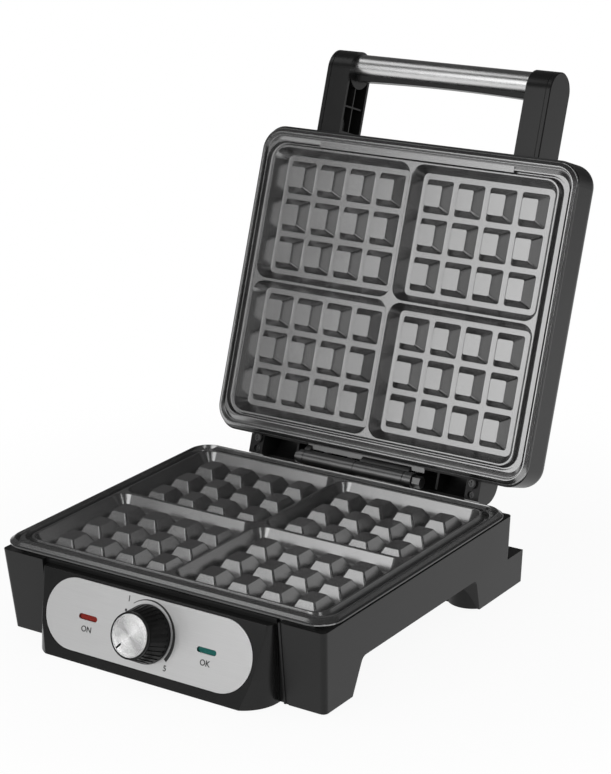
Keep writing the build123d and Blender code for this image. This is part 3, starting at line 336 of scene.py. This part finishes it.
# %% [markdown]
# ## Metal fittings and inner parts
# The hinge leaves and their pin are dark oiled steel. The screws of the hood and the handle are blackened,
# and the others are zinc plated. Rubber, trays, heating elements and the pale mouldings inside follow the
# same recipe: two close shades, a slow change of roughness and a fine grain.

# %% Dress the fittings
def plain_finish(name, dark, light, rough, metallic, grain=900, depth=0.00001):
    finish = Finish(name, Metallic=metallic)
    where = finish.place()
    cloud = finish.noise(where, 60, 3)
    finish.feed("Base Color", finish.shades(cloud, dark, light))
    finish.feed("Roughness", rough + 0.1 * cloud)
    finish.feed("Normal", finish.bump(finish.noise(where, grain, 2), depth))
    return finish


dress(plain_finish("oiled_hinge_steel", grey(0.13), grey(0.2), 0.26, 0.95, grain=500),
      "base_hinge_leaf", "lid_hinge_leaf", "hinge_pin", "hinge_clip")
dress(plain_finish("blackened_screws", grey(0.05), grey(0.09), 0.3, 0.8), "hood_screws", "handle_screws")
dress(plain_finish("zinc_plate", grey(0.35), grey(0.5), 0.3, 1.0),
      "arm_screws", "base_hinge_screws", "lid_hinge_screws",
      "fascia_screws", "bottom_cover_screws", "lower_plate_screws", "upper_plate_screws",
      "thermostat_nut", "thermostat_shaft")
dress(plain_finish("coated_cover_sheet", grey(0.03), grey(0.045), 0.4, 0.2), "bottom_cover")
dress(plain_finish("silicone_rubber", grey(0.02), grey(0.03), 0.6, 0.0), "rubber_feet", "cord_gland")
dress(plain_finish("aluminised_tray", grey(0.5), grey(0.62), 0.35, 1.0), "lower_reflector", "upper_reflector")
dress(plain_finish("oxidised_sheath", (0.16, 0.14, 0.12), (0.24, 0.21, 0.18), 0.45, 1.0),
      "lower_heating_element", "upper_heating_element")
dress(plain_finish("pale_heat_moulding", (0.62, 0.6, 0.54), (0.7, 0.68, 0.62), 0.5, 0.0),
      "lamp_holders", "thermostat", "terminal_block", "thermal_fuse")

# %% [markdown]
# ## Indicator lenses
# The lenses are moulded in clear tinted plastic, with a small lamp behind. Unlit, they are a deep red and
# a bluish green with a glossy face. A little light passes into them, so the colour is not flat.

# %% Dress the lenses
def lens_finish(name, deep, pale):
    lens = Finish(name, Metallic=0.0, IOR=1.5, Transmission_Weight=0.25)
    haze = lens.noise(lens.place(), 500, 2)
    lens.feed("Base Color", lens.shades(haze, deep, pale))
    lens.feed("Roughness", 0.12 + 0.1 * haze)
    return lens


dress(lens_finish("red_lens", (0.22, 0.012, 0.008), (0.42, 0.04, 0.025)), "power_lens")
dress(lens_finish("green_lens", (0.006, 0.1, 0.085), (0.02, 0.22, 0.19)), "ready_lens")
dress(lens_finish("lamp_glass", (0.5, 0.35, 0.25), (0.6, 0.45, 0.35)), "indicator_lamps")

# %% [markdown]
# ## Printing on the panel
# The panel is screen printed in black: a band round the knob that swells from thin to thick, a dot where
# the knob is off, plain numbers for low and high, and a word under each light. Ink has a real thickness,
# so each mark is a thin solid that lies on the steel, drawn in the panel's own plane.

# %% Draw the dial band and dot
INK_THICK = 0.06 * MM
ink = plain_finish("screen_ink", grey(0.008), grey(0.014), 0.45, 0.0)


def piece(name, mesh, body, finish):
    thing = bpy.data.objects.new(name, mesh)
    bpy.context.scene.collection.objects.link(thing)
    mesh.materials.clear()
    mesh.materials.append(finish.material)
    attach(thing, body)
    return thing


def ink_shape(name, outline):
    """A printed mark from its outline in the panel's plane, in millimetres."""
    shape = bmesh.new()
    bottom = [shape.verts.new(PANEL @ Vector((x * MM, y * MM, 0))) for x, y in outline]
    face = shape.faces.new(bottom)
    grown = bmesh.ops.extrude_face_region(shape, geom=[face])
    top = [item for item in grown["geom"] if isinstance(item, bmesh.types.BMVert)]
    bmesh.ops.translate(shape, verts=top, vec=panel_out * INK_THICK)
    bmesh.ops.recalc_face_normals(shape, faces=shape.faces)
    bmesh.ops.triangulate(shape, faces=shape.faces)
    mesh = bpy.data.meshes.new(name)
    shape.to_mesh(mesh)
    shape.free()
    return piece(name, mesh, "base", ink)


def polar(radius_mm, degrees):
    angle = math.radians(degrees)
    return radius_mm * math.cos(angle), radius_mm * math.sin(angle)


BAND_RADIUS = 21.2
BAND_FROM, BAND_TO = 128.0, -37.0
BAND_THIN, BAND_THICK = 0.4, 2.5
BAND_STEPS = 80
outer, inner = [], []
for step in range(BAND_STEPS + 1):
    share = step / BAND_STEPS
    turn = BAND_FROM + (BAND_TO - BAND_FROM) * share
    width = BAND_THIN + (BAND_THICK - BAND_THIN) * share
    outer.append(polar(BAND_RADIUS + width / 2, turn))
    inner.append(polar(BAND_RADIUS - width / 2, turn))
ink_shape("dial_band", outer + inner[::-1])

DOT_PLACE = polar(21.4, 148.0)
DOT_RADIUS = 0.9
DOT_STEPS = 24
dot = [polar(DOT_RADIUS, 360 * step / DOT_STEPS) for step in range(DOT_STEPS)]
ink_shape("off_dot", [(DOT_PLACE[0] + x, DOT_PLACE[1] + y) for x, y in dot])
print("dial band from", BAND_FROM, "to", BAND_TO, "degrees")

# %% [markdown]
# ## Words and numbers
# Blender's text objects carry their own letters, which become a mesh once they are set. Only general
# marks are used: the low and high ends of the scale as numbers, ON for the power light and OK for the
# light that says the plates are hot.

# %% Set the words and numbers
LETTER_BOLD = 0.09


def ink_text(name, words, place, height):
    curve = bpy.data.curves.new(name + "_letters", "FONT")
    curve.body = words
    curve.size = height * MM
    curve.align_x = "CENTER"
    curve.align_y = "CENTER"
    curve.extrude = INK_THICK / 2
    curve.offset = LETTER_BOLD * MM
    letters = bpy.data.objects.new(name + "_letters", curve)
    bpy.context.scene.collection.objects.link(letters)
    mesh = bpy.data.meshes.new_from_object(letters.evaluated_get(bpy.context.evaluated_depsgraph_get()))
    bpy.data.objects.remove(letters)
    middle = Vector((place[0], place[1], 0)) * MM + Vector((0, 0, INK_THICK / 2))
    mesh.transform(PANEL @ Matrix.Translation(middle))
    mesh.name = name
    return piece(name, mesh, "base", ink)


LIGHT_X = 46.6
WORD_Y = -7.6
LETTER_SIZE = 5.2
LOW_PLACE = polar(25.2, 132.0)
HIGH_PLACE = polar(25.0, -45.0)
ink_text("low_number", "1", LOW_PLACE, LETTER_SIZE)
ink_text("high_number", "5", HIGH_PLACE, LETTER_SIZE)
ink_text("power_word", "ON", (-LIGHT_X, WORD_Y), LETTER_SIZE)
ink_text("hot_word", "OK", (LIGHT_X, WORD_Y), LETTER_SIZE)

# %% [markdown]
# ## The studio
# The table is one pale sheet that fills the picture. Seen by the camera, or mirrored in metal, it glows a
# plain white, so it needs no lamp of its own. Close to the machine a part of the light is its own
# shading, which keeps the soft shadow under the feet. In a mirror the glow ends a good metre out, as the
# edge of a real sheet would, so that upright slopes look out over it into the dark room.

# %% Lay the table
TABLE_HALF = 6.0
SHADE_NEAR = 0.07
SHADE_REACH = 0.45
SHADE_FULL = 0.4 * SHADE_REACH
MIRRORED_FROM, MIRRORED_TO = 0.7, 1.5

sheet_mesh = bpy.data.meshes.new("table")
sheet_shape = bmesh.new()
bmesh.ops.create_grid(sheet_shape, x_segments=4, y_segments=4, size=TABLE_HALF)
sheet_shape.to_mesh(sheet_mesh)
sheet_shape.free()
table = bpy.data.objects.new("table", sheet_mesh)
bpy.context.scene.collection.objects.link(table)

paper = Finish("white_table", Base_Color=(0.8, 0.8, 0.8, 1), Roughness=0.7)
distance = paper.node("ShaderNodeVectorMath", {"operation": "LENGTH"}, {0: paper.place()}, out="Value")
near = SHADE_NEAR * (1 - paper.band(distance, SHADE_FULL, SHADE_REACH))
camera_ray = paper.node("ShaderNodeLightPath")
mirrored = Wire(paper, camera_ray.socket.node.outputs["Is Glossy Ray"])
through = Wire(paper, camera_ray.socket.node.outputs["Is Transmission Ray"])
mirrored = mirrored * (1 - paper.band(distance, MIRRORED_FROM, MIRRORED_TO))
seen = camera_ray.math("MAXIMUM", camera_ray, mirrored.math("MAXIMUM", mirrored, through))
glow = paper.node("ShaderNodeEmission", {}, {"Color": (1, 1, 1, 1), "Strength": 1.0})
mixed = paper.node("ShaderNodeMixShader", {},
                   {0: seen * (1 - near), 1: Wire(paper, paper.shader.outputs[0]), 2: glow})
paper.tree.links.new(mixed.socket, paper.tree.nodes["Material Output"].inputs["Surface"])
sheet_mesh.materials.append(paper.material)

# %% [markdown]
# ## Light
# A large soft box in front, a little to the left, makes the pale slopes of the knobs and fills the steel
# panel. A narrow strip at the front right draws the thin bright line down the rounded edges of the knobs,
# and two dim boxes, high on the left and low at the back right, keep the tube's top and the far slopes
# from going black. Straight overhead it is dark, which is why the tops of the lower knobs stay dark. Each
# box is given by how bright its face looks, where 1 is a white wall, because that is what metal mirrors.

# %% Hang the soft boxes
AIM = Vector((0, 0, 0.12))


def soft_box(name, azimuth, elevation, distance, size, brightness):
    """A box at an azimuth from the front, positive to the right, that faces the machine."""
    turn, rise = math.radians(azimuth), math.radians(elevation)
    toward = Vector((math.sin(turn) * math.cos(rise), -math.cos(turn) * math.cos(rise), math.sin(rise)))
    watts = brightness * math.pi * size[0] * size[1]
    light = bpy.data.lights.new(name, "AREA")
    light.shape = "RECTANGLE"
    light.size, light.size_y = size
    light.energy = watts
    lamp = bpy.data.objects.new(name, light)
    bpy.context.scene.collection.objects.link(lamp)
    lamp.location = AIM + toward * distance
    lamp.rotation_mode = "QUATERNION"
    lamp.rotation_quaternion = toward.to_track_quat("Z", "Y")
    lamp.visible_camera = False
    print(name, size, "m,", round(watts, 1), "W")


soft_box("front_box", -17, 22, 2.3, (1.4, 1.3), 2.2)
soft_box("edge_strip", 50, 32, 2.0, (0.12, 1.2), 5.0)
soft_box("high_left_box", -72, 55, 2.3, (1.0, 0.7), 1.2)
soft_box("back_right_box", 140, 20, 2.2, (1.0, 1.0), 0.5)

# %% Paint the studio walls
WALL_SHADES = ((0.0, 0.05), (0.3, 0.11), (0.7, 0.04))
world = bpy.data.worlds.new("studio")
world.use_nodes = True
bpy.context.scene.world = world


class Studio:
    """The world's tree, with the same way of adding nodes as a finish."""

    def __init__(self, tree):
        self.tree = tree

    def node(self, kind, settings=None, sockets=None, out=0):
        return add_node(self, self.tree, kind, settings or {}, sockets or {}, out)


studio = Studio(world.node_tree)
world.node_tree.nodes.clear()
direction = studio.node("ShaderNodeTexCoord", out="Generated")
height = studio.node("ShaderNodeSeparateXYZ", {}, {0: direction}, out="Z")
wall_stops = [(rise, (*grey(shade), 1)) for rise, shade in WALL_SHADES]
walls = studio.node("ShaderNodeValToRGB", {"stops": wall_stops}, {0: height})
camera_ray = studio.node("ShaderNodeLightPath")
mirrored = Wire(studio, camera_ray.socket.node.outputs["Is Glossy Ray"])
through = Wire(studio, camera_ray.socket.node.outputs["Is Transmission Ray"])
white = studio.node("ShaderNodeBackground", {}, {"Color": (1, 1, 1, 1), "Strength": 1.0})
dim = studio.node("ShaderNodeBackground", {}, {"Color": walls, "Strength": 1.0})
soft = studio.node("ShaderNodeBackground", {}, {"Color": (1, 1, 1, 1), "Strength": 0.7})
bounced = mirrored.math("MAXIMUM", mirrored, through)
unseen = studio.node("ShaderNodeMixShader", {}, {0: bounced, 1: soft, 2: dim})
whole = studio.node("ShaderNodeMixShader", {}, {0: camera_ray, 1: unseen, 2: white})
out = world.node_tree.nodes.new("ShaderNodeOutputWorld")
world.node_tree.links.new(whole.socket, out.inputs["Surface"])
